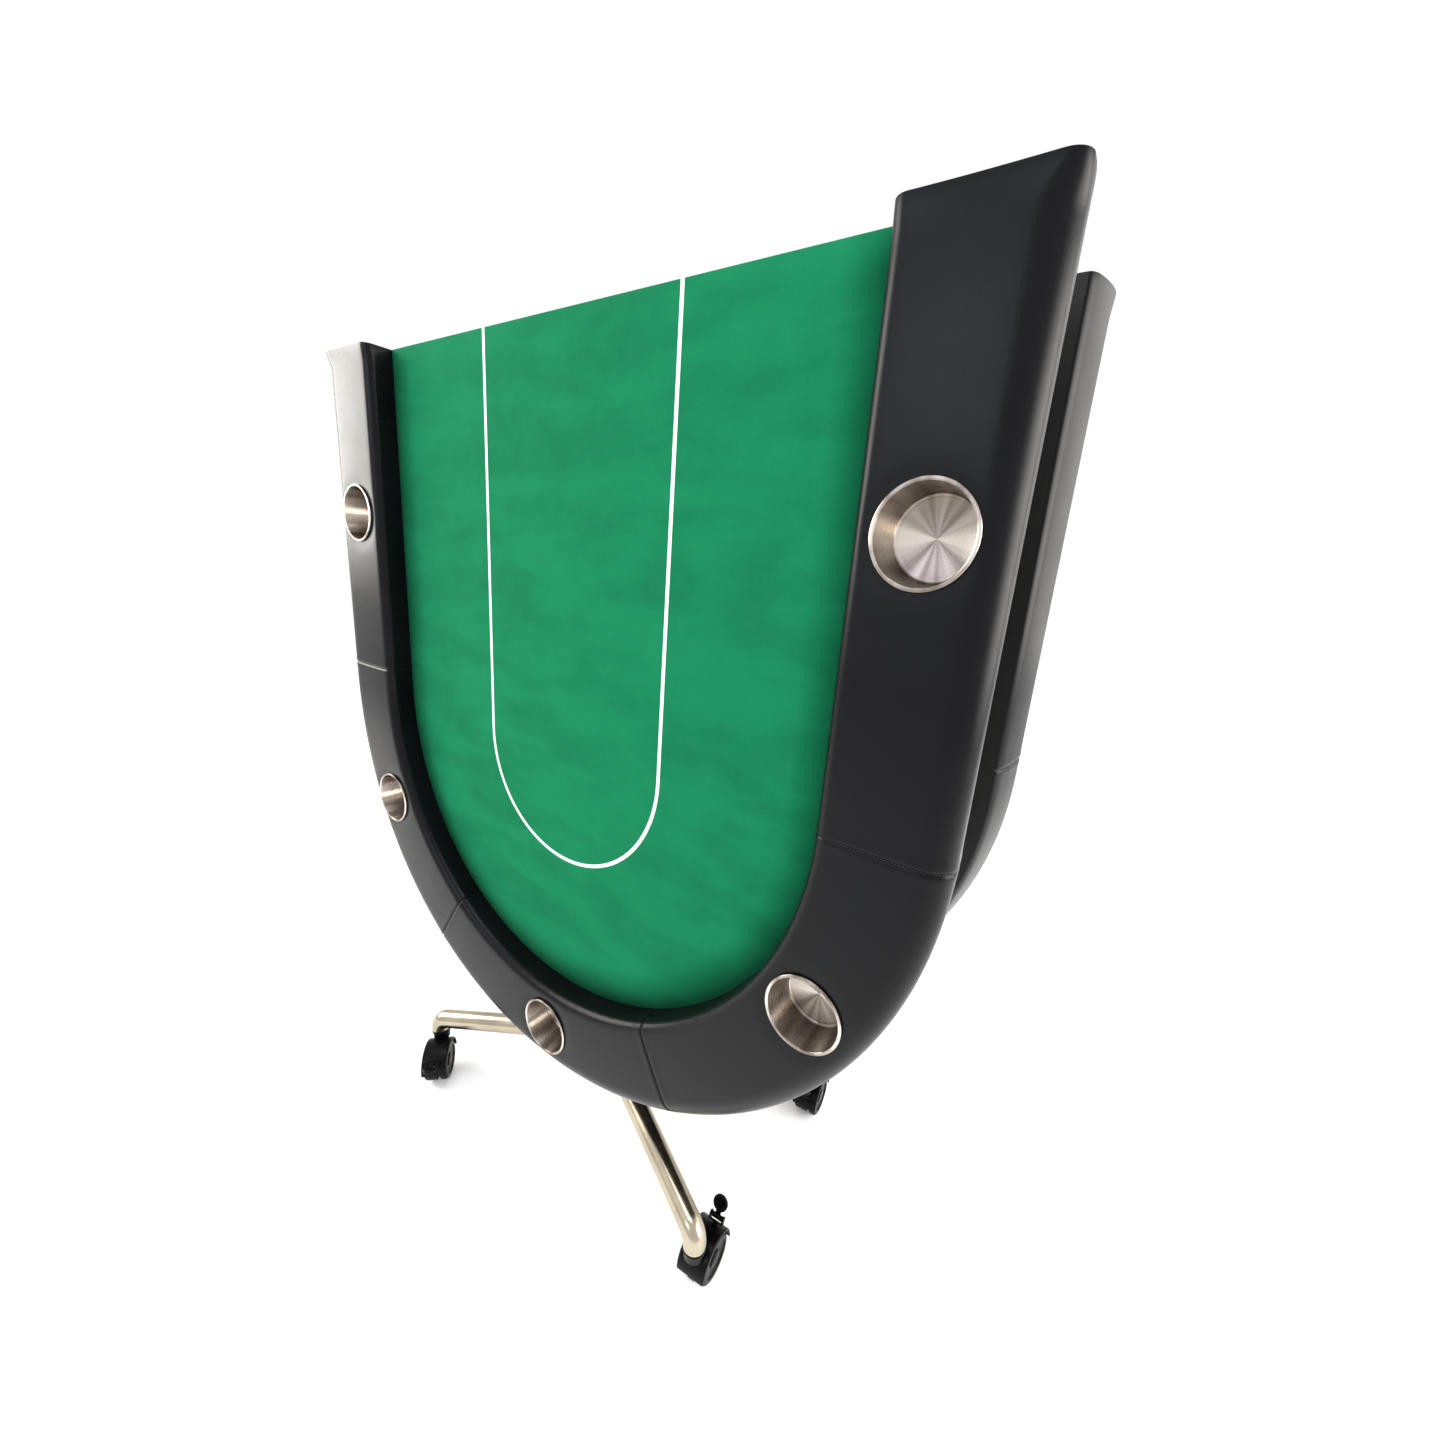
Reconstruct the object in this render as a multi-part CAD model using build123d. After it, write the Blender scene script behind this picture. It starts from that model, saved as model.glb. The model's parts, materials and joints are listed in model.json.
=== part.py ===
from build123d import *
import math
import os

os.makedirs("parts", exist_ok=True)

# Folding card table: two D-shaped leaves, stored back to back over one rolling base.
# +X is to the right of someone facing the front leaf, the front leaf faces -Y and +Z is up.
# The origin is on the floor, under the middle of the folded table. All sizes are millimetres.

# Leaf outline and section
leaf_width = 1200.0
side_length = 593.0
rail_width = 144.0
rail_top = 46.0
rail_bottom = -54.0
rail_edge_radius = 25.0
skirt_edge_radius = 11.5
skirt_thickness = 12.0
seam_gap = 0.4
upper_seam = 562.0
bend_seam_angles = (0.6, 62.0, 123.0)
felt_thickness = 2.0
board_thickness = 18.0
rail_base_inner = 500.0
batten_depth = 70.0
batten_start = 3.0

# Cup holders
cup_rim_radius = 51.0
cup_mouth_radius = 47.0
cup_floor_radius = 43.0
cup_depth = 48.8
cup_wall = 1.2
cup_rim_thickness = 2.0
side_cup_depth = 275.0
low_cup_angle = 26.5
cup_hole_radius = 48.7

# How the folded leaf stands
lean = 2.5
felt_offset = 115.0
leaf_top = 1418.0

# Pivot, spine and lock
pivot_height = 604.0
pivot_below_felt = 99.0
shaft_radius = 10.0
running_gap = 0.05
head_radius = 22.0
head_half = 90.0
bracket_inner = 92.0
bracket_thickness = 6.0
bracket_base_half = 70.0
flange_width = 50.0
flange_thickness = 6.0
spine_arm_inner = 300.0
spine_arm_thickness = 8.0
spine_arm_gap = 1.0
spine_knuckle_radius = 12.0
spine_pin_radius = 6.0
spine_overhang = 0.5
spine_flange_length = 40.0
lock_radius = 40.0
lock_bolt_radius = 6.0
lock_slot_half = 6.5
quadrant_radius = 56.0
quadrant_inner = 80.0
quadrant_thickness = 6.0
fold_angle = 90.0 - lean

# Base
castor_x = 346.0
castor_y = 215.0
castor_height = 95.0
column_radius = 25.0
tube_wall = 3.0
hub_radius = 40.0
hub_bottom = 148.0
hub_top = 212.0
foot_hub_radius = 20.0
foot_end_radius = 18.3
foot_hub_y = -70.0
foot_hub_z = 181.0
foot_end_z = 119.0
elbow_radius = 21.0

# Castors
stem_radius = 5.5
stem_top = 115.0
stem_bottom = 66.0
trail = 31.0
wheel_radius = 37.5
wheel_width = 16.0
web_half = 5.5
wheel_gap = 1.5
hood_inner = 39.5
hood_outer = 43.0
hood_half = 24.7
axle_radius = 4.0
collar_radius = 18.3
pedal_reach = 48.0
pedal_pivot_angle = 36.0
pedal_arm = 22.0
pedal_pin_radius = 2.0
paddle_radius = 13.0
paddle_thickness = 5.0

# Screws
screw_radius = 2.5
screw_head_radius = 5.0
screw_head_height = 2.5
screw_length = 14.0

# Worked out from the sizes above
half_width = leaf_width / 2
rail_inner = half_width - rail_width
rail_middle = half_width - rail_width / 2
board_bottom = -felt_thickness - board_thickness
board_radius = half_width - skirt_thickness
lean_sin = math.sin(math.radians(lean))
lean_cos = math.cos(math.radians(lean))
pivot_depth = (leaf_top - pivot_height - pivot_below_felt * lean_sin) / lean_cos
pivot_y = -felt_offset - pivot_depth * lean_sin + pivot_below_felt * lean_cos
spine_below_felt = (felt_offset - spine_overhang * lean_sin) / lean_cos

# Leaf frame: x to the right, y up along the leaf from its straight edge, z out of the felt
leaf_plane = Plane(origin=(0, -felt_offset, leaf_top), x_dir=(1, 0, 0), z_dir=(0, -lean_cos, lean_sin))
half_turn = Rot(0, 0, 180)
arc_centre = Pos(0, -side_length, 0)


def tube_between(x_low, x_high, radius, y=0.0, z=0.0):
    """A round bar along X, from x_low to x_high."""
    bar = Rot(0, 90, 0) * Cylinder(radius, x_high - x_low)
    return Pos((x_low + x_high) / 2, y, z) * bar


def d_shape(radius, bottom, top):
    """A slab of the leaf's D outline, with its round end downwards."""
    straight = Pos(0, -side_length / 2) * Rectangle(2 * radius, side_length)
    outline = straight + Pos(0, -side_length) * Circle(radius)
    return Pos(0, 0, bottom) * extrude(outline, top - bottom)


def along_rail(section):
    """Carry a section (x = distance from the middle, y = height) round the U of the rail."""
    face = Plane.XZ * section
    straight = extrude(face, side_length)
    bend = revolve(arc_centre * face, Axis((0, -side_length, 0), (0, 0, -1)), 180)
    return straight + bend + mirror(straight, Plane.YZ)


def cup_places():
    """The five cup centres on the rail, from the upper left one round to the upper right one."""
    low = math.radians(low_cup_angle)
    low_x = rail_middle * math.cos(low)
    low_y = -side_length - rail_middle * math.sin(low)
    bottom_y = -side_length - rail_middle
    left = [(-rail_middle, -side_cup_depth), (-low_x, low_y)]
    right = [(low_x, low_y), (rail_middle, -side_cup_depth)]
    return left + [(0, bottom_y)] + right


def cup_cutters():
    return [Pos(x, y, 0) * Cylinder(cup_hole_radius, 200) for x, y in cup_places()]


def seam_cutters():
    """Thin slots across the rail, one where each cover panel ends."""
    reach = rail_width + 40
    height = 2 * (rail_top - rail_bottom)
    slots = [Pos(-rail_middle, -upper_seam, 0) * Box(reach, seam_gap, height)]
    for angle in bend_seam_angles:
        slots.append(arc_centre * Rot(0, 0, -angle) * Pos(rail_middle, 0, 0) * Box(reach, seam_gap, height))
    return slots


def rail_pad():
    """Five foam sections under vinyl: a broad flat crown, rolled edges and a skirt over the board's edge."""
    soft = rail_edge_radius
    hem = skirt_edge_radius
    with BuildSketch() as section:
        with BuildLine():
            Line((rail_inner, -felt_thickness), (rail_inner, rail_top - soft))
            ThreePointArc(
                (rail_inner, rail_top - soft),
                (rail_inner + soft * (1 - math.sqrt(0.5)), rail_top - soft * (1 - math.sqrt(0.5))),
                (rail_inner + soft, rail_top),
            )
            Line((rail_inner + soft, rail_top), (half_width - soft, rail_top))
            ThreePointArc(
                (half_width - soft, rail_top),
                (half_width - soft * (1 - math.sqrt(0.5)), rail_top - soft * (1 - math.sqrt(0.5))),
                (half_width, rail_top - soft),
            )
            Line((half_width, rail_top - soft), (half_width, rail_bottom + hem))
            ThreePointArc(
                (half_width, rail_bottom + hem),
                (half_width - hem * (1 - math.sqrt(0.5)), rail_bottom + hem * (1 - math.sqrt(0.5))),
                (half_width - hem, rail_bottom),
            )
            Polyline(
                (half_width - hem, rail_bottom),
                (board_radius, rail_bottom),
                (board_radius, -felt_thickness),
                (rail_inner, -felt_thickness),
            )
        make_face()
    return along_rail(section.sketch) - cup_cutters() - seam_cutters()


def rail_base():
    """Plywood U under the board's edge, which the rail is screwed up through."""
    height = board_bottom - rail_bottom
    width = board_radius - rail_base_inner
    section = Pos(rail_base_inner + width / 2, rail_bottom + height / 2) * Rectangle(width, height)
    return along_rail(section) - screw_shanks()


def board():
    """Plywood top, which the cups stand on."""
    return d_shape(board_radius, board_bottom, -felt_thickness) - screw_shanks()


def felt():
    return d_shape(rail_inner - 0.5, -felt_thickness, 0)


def edge_batten():
    """Plank under the straight edge, which carries the spine brackets."""
    height = board_bottom - rail_bottom
    plank = Box(2 * rail_base_inner - 1, batten_depth, height)
    placed = Pos(0, -batten_start - batten_depth / 2, rail_bottom + height / 2) * plank
    return placed - screw_shanks()


def cup_holder(x, y):
    """Spun metal cup with a flat rim, tapering slightly to its floor."""
    rim_top = rail_top + cup_rim_thickness
    floor_top = rim_top - cup_depth
    with BuildSketch() as section:
        with BuildLine():
            Polyline(
                (0, floor_top),
                (cup_floor_radius, floor_top),
                (cup_mouth_radius, rim_top),
                (cup_rim_radius, rim_top),
                (cup_rim_radius, rail_top),
                (cup_mouth_radius + cup_wall, rail_top),
                (cup_floor_radius + cup_wall, floor_top - cup_wall),
                (0, floor_top - cup_wall),
                (0, floor_top),
            )
        make_face()
    return Pos(x, y, 0) * revolve(Plane.XZ * section.sketch, Axis.Z, 360)


def bracket_flange_centre(side):
    return side * (bracket_inner + bracket_thickness + flange_width / 2)


def spine_arm_ranges():
    """Where the leaf's two spine arms lie along X. The other leaf's arms lie beside them."""
    step = spine_arm_thickness + spine_arm_gap
    right = (spine_arm_inner, spine_arm_inner + spine_arm_thickness)
    left = (-spine_arm_inner - step - spine_arm_thickness, -spine_arm_inner - step)
    return [(right, -1), (left, -1)]


def screw_places():
    """Every screw in the leaf's underside, as x, y and the height of the face under its head."""
    places = []
    for side in (-1, 1):
        for dx in (-15, 15):
            for dy in (-50, 50):
                x = bracket_flange_centre(side) + dx
                places.append((x, -pivot_depth + dy, board_bottom - flange_thickness))
    for (low, high), side in spine_arm_ranges():
        x = low + side * spine_flange_length / 2
        for dy in (-20, 20):
            y = -batten_start - batten_depth / 2 + dy
            places.append((x, y, rail_bottom - flange_thickness))
    middle = (rail_base_inner + board_radius) / 2
    for angle in (20, 55, 90, 125, 160):
        turn = math.radians(angle)
        places.append((middle * math.cos(turn), -side_length - middle * math.sin(turn), rail_bottom))
    for x in (-middle, middle):
        for y in (-80, -450):
            places.append((x, y, rail_bottom))
    return places


def screw_shanks():
    return [Pos(x, y, z + screw_length / 2) * Cylinder(screw_radius, screw_length) for x, y, z in screw_places()]


def screws():
    heads = []
    for x, y, z in screw_places():
        shank = Pos(0, 0, screw_length / 2) * Cylinder(screw_radius, screw_length)
        head = Pos(0, 0, -screw_head_height / 2) * Cylinder(screw_head_radius, screw_head_height)
        socket = Pos(0, 0, -screw_head_height) * extrude(RegularPolygon(2.2, 6), 1.5)
        heads.append(Pos(x, y, z) * (shank + head - socket))
    return Compound(children=heads)


def pivot_bracket(side):
    """Steel plate hanging from the board to the pivot shaft, with a screwed foot flange."""
    plate_profile = make_hull(
        [
            *(Pos(-pivot_depth, -pivot_below_felt) * Circle(head_radius)).edges(),
            *(Pos(-pivot_depth, board_bottom - 1) * Rectangle(2 * bracket_base_half, 2)).edges(),
        ]
    )
    plate_profile -= Pos(-pivot_depth, -pivot_below_felt) * Circle(shaft_radius)
    plate_profile -= Pos(-pivot_depth, -pivot_below_felt + lock_radius) * Circle(lock_bolt_radius + running_gap)
    plate = extrude(Plane.YZ * plate_profile, bracket_thickness)
    start = bracket_inner if side > 0 else -bracket_inner - bracket_thickness
    flange = Box(flange_width, 2 * bracket_base_half, flange_thickness)
    flange_z = board_bottom - flange_thickness / 2
    placed = Pos(bracket_flange_centre(side), -pivot_depth, flange_z) * flange
    return Pos(start, 0, 0) * plate + placed - screw_shanks()


def pivot_brackets():
    return Compound(children=[pivot_bracket(-1), pivot_bracket(1)])


def pivot_shaft():
    """Shaft through both brackets and the head tube, with a button head on each end."""
    end = bracket_inner + bracket_thickness
    bar = tube_between(-end, end, shaft_radius)
    heads = [tube_between(end, end + 9, 15), tube_between(-end - 9, -end, 15)]
    heads = [fillet(head.edges().sort_by(Axis.X)[-1 if head.center().X > 0 else 0], 3) for head in heads]
    return Pos(0, -pivot_depth, -pivot_below_felt) * (bar + heads)


def spine_arm(span, side):
    """Cranked plate from the batten to the spine axis, midway between the folded leaves."""
    low, high = span
    knuckle = Pos(spine_overhang, -spine_below_felt)
    foot_middle = -batten_start - batten_depth / 2
    profile = make_hull(
        [
            *(knuckle * Circle(spine_knuckle_radius)).edges(),
            *(Pos(foot_middle, rail_bottom - 1) * Rectangle(batten_depth, 2)).edges(),
        ]
    )
    profile -= knuckle * Circle(spine_pin_radius + running_gap)
    plate = Pos(low, 0, 0) * extrude(Plane.YZ * profile, high - low)
    flange = Box(spine_flange_length, batten_depth, flange_thickness)
    flange_x = low + side * spine_flange_length / 2
    return plate + Pos(flange_x, foot_middle, rail_bottom - flange_thickness / 2) * flange - screw_shanks()


def spine_brackets():
    return Compound(children=[spine_arm(span, side) for span, side in spine_arm_ranges()])


def spine_pins():
    """One headed pin through each pair of spine arms."""
    reach = 2 * spine_arm_thickness + spine_arm_gap
    pins = []
    for start in (spine_arm_inner, -spine_arm_inner - reach):
        bar = tube_between(start - 4, start + reach + 4, spine_pin_radius)
        ends = [
            tube_between(start - 4.5, start - 0.5, spine_pin_radius + 3),
            tube_between(start + reach + 0.5, start + reach + 4.5, spine_pin_radius + 3),
        ]
        pins.append(Pos(0, spine_overhang, -spine_below_felt) * (bar + ends))
    return Compound(children=pins)


def clamp_knob():
    """Five-lobed knob on a headed bolt, which pinches the bracket on the lock quadrant."""
    lobes = Circle(14)
    for step in range(5):
        turn = math.radians(72 * step)
        lobes += Pos(11 * math.cos(turn), 11 * math.sin(turn)) * Circle(7.5)
    outer = bracket_inner + bracket_thickness
    grip = Pos(outer + 1, 0, 0) * extrude(Plane.YZ * lobes, 22)
    grip = fillet(grip.faces().sort_by(Axis.X)[-1].edges(), 2.5)
    bolt = tube_between(quadrant_inner - 1, outer + 4, lock_bolt_radius)
    head = tube_between(quadrant_inner - 7, quadrant_inner - 1, 9)
    return Pos(0, -pivot_depth, -pivot_below_felt + lock_radius) * (grip + bolt + head)


def head_tube():
    """Bearing tube across the top of the column."""
    outer = tube_between(-head_half, head_half, head_radius)
    bore = tube_between(-head_half, head_half, shaft_radius + running_gap)
    return Pos(0, pivot_y, pivot_height) * (outer - bore)


def lock_quadrant():
    """Disc on the head tube with a curved slot, which the clamp bolt slides along as the leaf folds."""
    end_turn = math.radians(180 - lean)
    start_turn = math.radians(90)
    with BuildSketch() as profile:
        Circle(quadrant_radius)
        Circle(head_radius, mode=Mode.SUBTRACT)
        with BuildSketch(mode=Mode.SUBTRACT):
            SlotArc(
                ThreePointArc(
                    (lock_radius * math.cos(start_turn), lock_radius * math.sin(start_turn)),
                    (
                        lock_radius * math.cos((start_turn + end_turn) / 2),
                        lock_radius * math.sin((start_turn + end_turn) / 2),
                    ),
                    (lock_radius * math.cos(end_turn), lock_radius * math.sin(end_turn)),
                ),
                2 * lock_slot_half,
            )
    disc = extrude(Plane.YZ * profile.sketch, quadrant_thickness)
    return Pos(quadrant_inner, pivot_y, pivot_height) * disc


def column():
    """Round steel column, saddled to the head tube."""
    height = pivot_height - hub_top
    tube = Cylinder(column_radius, height) - Cylinder(column_radius - tube_wall, height)
    placed = Pos(0, pivot_y, hub_top + height / 2) * tube
    return placed - tube_between(-head_half, head_half, head_radius, pivot_y, pivot_height)


def foot_points():
    """Hub point, both ends of the elbow and the direction of the right foot."""
    start = Vector(0, foot_hub_y, foot_hub_z)
    corner = Vector(castor_x, -castor_y, foot_end_z)
    heading = (corner - start).normalized()
    turn = math.radians(heading.get_angle(Vector(0, 0, -1)))
    setback = elbow_radius * math.tan(turn / 2)
    return start, corner - heading * setback, corner - Vector(0, 0, setback), heading


def foot_outside():
    """Tapered tube from the hub, a tight elbow and a short upright stub over the castor."""
    start, elbow_start, elbow_end, heading = foot_points()
    length = (elbow_start - start).length
    taper_plane = Plane(origin=start, z_dir=heading)
    taper = taper_plane * Pos(0, 0, length / 2) * Cone(foot_hub_radius, foot_end_radius, length)
    arc = TangentArc(elbow_start, elbow_end, tangent=heading)
    elbow = sweep(Plane(origin=elbow_start, z_dir=heading) * Circle(foot_end_radius), path=arc)
    drop = elbow_end.Z - castor_height
    stub = Pos(elbow_end.X, elbow_end.Y, castor_height + drop / 2) * Cylinder(foot_end_radius, drop)
    return taper + elbow + stub


def right_foot():
    start, elbow_start, elbow_end, heading = foot_points()
    hub_clear = hub_radius - 12
    length = (elbow_start - start).length
    bore = Plane(origin=start, z_dir=heading) * Pos(0, 0, length / 2) * Cone(
        foot_hub_radius - tube_wall, foot_end_radius - tube_wall, length
    )
    socket = Pos(elbow_end.X, elbow_end.Y, castor_height) * Cylinder(
        stem_radius + running_gap, 2 * (stem_top + 1 - castor_height)
    )
    core = Pos(0, pivot_y, foot_hub_z) * Cylinder(hub_clear, 100)
    left_side = Pos(-castor_x, 0, foot_hub_z) * Box(2 * castor_x, 4 * castor_y, 200)
    return foot_outside() - bore - socket - core - left_side


def hub():
    """Cast hub that the column and both feet are fixed in."""
    body = Pos(0, pivot_y, (hub_bottom + hub_top) / 2) * Cylinder(hub_radius, hub_top - hub_bottom)
    body = fillet(body.edges().filter_by(GeomType.CIRCLE), 5)
    core = Pos(0, pivot_y, foot_hub_z) * Cylinder(hub_radius - 12, 100)
    right = foot_outside() - core
    return body - right - mirror(right, Plane.YZ)


def castor_housing(pedal_side):
    """Hood over both wheels, the web between them, the stem collar and the pedal's ears."""
    axle = Pos(0, -trail, wheel_radius)
    hood = axle * (tube_between(-hood_half, hood_half, hood_outer) - tube_between(-50, 50, hood_inner))
    hood -= axle * (Pos(0, 0, -45) * Box(120, 120, 90))
    web = axle * tube_between(-web_half, web_half, hood_inner - 6)
    bridge = axle * (Pos(0, 0, 20) * Box(2 * web_half, 44, 44))
    bridge = bridge & (axle * tube_between(-web_half, web_half, hood_outer))
    collar = Pos(0, 0, castor_height - 2 - 20) * Cylinder(collar_radius, 40)
    wheel_room = [
        axle * tube_between(web_half + 0.5, hood_half + 20, hood_inner),
        axle * tube_between(-hood_half - 20, -web_half - 0.5, hood_inner),
    ]
    axle_room = axle * tube_between(-60, 60, axle_radius + running_gap)
    ears = [pedal_side * tube_between(x, x + 3, 4.5) for x in (-13, 10)]
    lugs = [
        pedal_side * Pos(x + 1.5, 0, 0) * Rot(-pedal_pivot_angle, 0, 0) * Pos(0, 3.5, 0) * Box(3, 7, 9)
        for x in (-13, 10)
    ]
    pin = pedal_side * tube_between(-13, 13, pedal_pin_radius)
    stem_bore = Pos(0, 0, stem_bottom + 30) * Cylinder(stem_radius, 60)
    solid = hood + web + bridge + collar
    return solid - wheel_room - axle_room - stem_bore + ears + lugs + pin


def castor_stem():
    height = stem_top - stem_bottom
    return Pos(0, 0, stem_bottom + height / 2) * Cylinder(stem_radius, height)


def castor_wheels():
    """Two wheels and the axle that they share."""
    wheels = []
    inner = web_half + wheel_gap
    for x in (inner, -inner - wheel_width):
        wheel = tube_between(x, x + wheel_width, wheel_radius)
        wheels.append(fillet(wheel.edges().filter_by(GeomType.CIRCLE), 4))
    axle = tube_between(-inner - 1, inner + 1, axle_radius)
    return Pos(0, -trail, wheel_radius) * (axle + wheels)


def castor_pedal(pedal_side, raised):
    """Brake paddle that swings on the pin between the housing's ears."""
    pin_hole = tube_between(-20, 20, pedal_pin_radius + running_gap)
    boss = tube_between(-9.5, 9.5, 4)
    arm = Pos(0, -pedal_arm / 2, 0) * Box(9, pedal_arm, 4)
    paddle = Pos(0, -pedal_arm, 0) * Cylinder(paddle_radius, paddle_thickness)
    paddle = fillet(paddle.edges(), 1.8)
    return pedal_side * Rot(raised, 0, 0) * (boss + arm + paddle - pin_hole)


pedal_turn = math.radians(pedal_pivot_angle)
pedal_pivot = Pos(
    0, -trail - pedal_reach * math.cos(pedal_turn), wheel_radius + pedal_reach * math.sin(pedal_turn)
)

# Corner name, place, the way the castor trails and how its pedal stands
castors = [
    ("front_left", -castor_x, -castor_y, 44.0, -20.0),
    ("front_right", castor_x, -castor_y, 184.0, -65.0),
    ("rear_left", -castor_x, castor_y, 224.0, -20.0),
    ("rear_right", castor_x, castor_y, 5.0, -65.0),
]


def leaf_pieces():
    pieces = {
        "board": board(),
        "felt": felt(),
        "rail_pad": rail_pad(),
        "rail_base": rail_base(),
        "edge_batten": edge_batten(),
        "pivot_brackets": pivot_brackets(),
        "pivot_shaft": pivot_shaft(),
        "spine_brackets": spine_brackets(),
        "screws": screws(),
        "clamp_knob": clamp_knob(),
    }
    for number, (x, y) in enumerate(cup_places(), 1):
        pieces[f"cup_holder_{number}"] = cup_holder(x, y)
    return pieces


def base_pieces():
    return {
        "hub": hub(),
        "column": column(),
        "head_tube": head_tube(),
        "lock_quadrant": lock_quadrant(),
        "foot_left": mirror(right_foot(), Plane.YZ),
        "foot_right": right_foot(),
    }


def castor_pieces(raised):
    return {
        "housing": castor_housing(pedal_pivot),
        "stem": castor_stem(),
        "wheels": castor_wheels(),
        "pedal": castor_pedal(pedal_pivot, raised),
    }


parts = {"spine_pins": leaf_plane.location * spine_pins()}
for name, piece in leaf_pieces().items():
    parts[f"front_{name}"] = leaf_plane.location * piece
    parts[f"rear_{name}"] = half_turn * leaf_plane.location * piece
rear_names = {"foot_left": "foot_right", "foot_right": "foot_left"}
for name, piece in base_pieces().items():
    parts[f"front_{name}"] = piece
    parts[f"rear_{rear_names.get(name, name)}"] = half_turn * piece
for corner, x, y, heading, raised in castors:
    for name, piece in castor_pieces(raised).items():
        parts[f"castor_{corner}_{name}"] = Pos(x, y, 0) * Rot(0, 0, heading) * piece

for name, piece in parts.items():
    export_step(piece, f"parts/{name}.step")
print(len(parts), "parts; pivot at Y", round(pivot_y, 3), "Z", pivot_height, "depth", round(pivot_depth, 3))
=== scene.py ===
import json
import math
import random

import bmesh
import bpy
from mathutils import Matrix, Vector


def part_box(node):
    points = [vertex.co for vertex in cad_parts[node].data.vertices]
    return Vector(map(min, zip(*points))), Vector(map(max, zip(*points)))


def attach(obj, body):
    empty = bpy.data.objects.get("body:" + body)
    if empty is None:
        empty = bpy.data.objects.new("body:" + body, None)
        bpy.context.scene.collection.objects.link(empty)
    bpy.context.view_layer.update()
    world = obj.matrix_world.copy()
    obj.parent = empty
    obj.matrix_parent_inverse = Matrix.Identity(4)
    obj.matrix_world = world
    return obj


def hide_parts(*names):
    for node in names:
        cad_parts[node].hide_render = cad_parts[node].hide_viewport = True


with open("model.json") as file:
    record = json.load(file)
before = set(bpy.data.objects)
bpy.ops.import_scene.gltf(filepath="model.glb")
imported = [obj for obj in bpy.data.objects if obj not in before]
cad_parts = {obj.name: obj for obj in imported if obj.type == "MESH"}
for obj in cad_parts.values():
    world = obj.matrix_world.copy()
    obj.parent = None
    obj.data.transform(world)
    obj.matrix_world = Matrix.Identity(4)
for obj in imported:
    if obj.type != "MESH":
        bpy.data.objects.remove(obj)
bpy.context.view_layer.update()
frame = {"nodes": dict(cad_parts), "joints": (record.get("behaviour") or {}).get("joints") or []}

random.seed(7)
mm = 0.001
print("stage: frame loaded")

# Folding card table, stored with its two D-shaped leaves upright and back to back.
# Leaf pieces are modelled flat: x to the right, y up the leaf from its straight edge, z out of the felt.
leafSizes = {
    "lean": 2.5,
    "feltOffset": 115 * mm,
    "topEdge": 1418 * mm,
    "halfWidth": 600 * mm,
    "railWidth": 144 * mm,
    "sideLength": 593 * mm,
    "feltThickness": 2 * mm,
}
frontPlace = Matrix.Translation((0, -leafSizes["feltOffset"], leafSizes["topEdge"]))
frontPlace @= Matrix.Rotation(math.radians(90 - leafSizes["lean"]), 4, "X")
leafPlaces = {"front": frontPlace, "rear": Matrix.Rotation(math.pi, 4, "Z") @ frontPlace}
railInner = leafSizes["halfWidth"] - leafSizes["railWidth"]
railMiddle = leafSizes["halfWidth"] - leafSizes["railWidth"] / 2
arcCentre = Vector((0, -leafSizes["sideLength"], 0))


def hexColour(code):
    channels = [int(code[i:i + 2], 16) / 255 for i in (1, 3, 5)]
    linear = [c / 12.92 if c <= 0.04045 else ((c + 0.055) / 1.055) ** 2.4 for c in channels]
    return (*linear, 1.0)


def addNode(tree, kind, settings=None, links=None):
    made = tree.nodes.new(kind)
    for key, value in (settings or {}).items():
        if isinstance(key, str) and hasattr(made, key):
            setattr(made, key, value)
        else:
            made.inputs[key].default_value = value
    for key, (source, output) in (links or {}).items():
        tree.links.new(source.outputs[output], made.inputs[key])
    return made


def startMaterial(name, surface):
    made = bpy.data.materials.new(name)
    made.use_nodes = True
    tree = made.node_tree
    tree.nodes.clear()
    shader = addNode(tree, "ShaderNodeBsdfPrincipled", surface)
    output = addNode(tree, "ShaderNodeOutputMaterial", links={"Surface": (shader, "BSDF")})
    output.is_active_output = True
    return made, tree, shader


def mixColour(tree, factor, first, second):
    made = addNode(tree, "ShaderNodeMix",
                   {"data_type": "RGBA", 6: hexColour(first), 7: hexColour(second)})
    tree.links.new(factor[0].outputs[factor[1]], made.inputs[0])
    return made


feltLook = {
    "light": "#14754D",
    # paler green painted along the fold creases as sheen
    "creaseSheen": "#188055",
    "dark": "#0A613E",
    "fibre": 0.9 * mm,
    "mottle": 60 * mm,
    "crease": 190 * mm,
}


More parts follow.
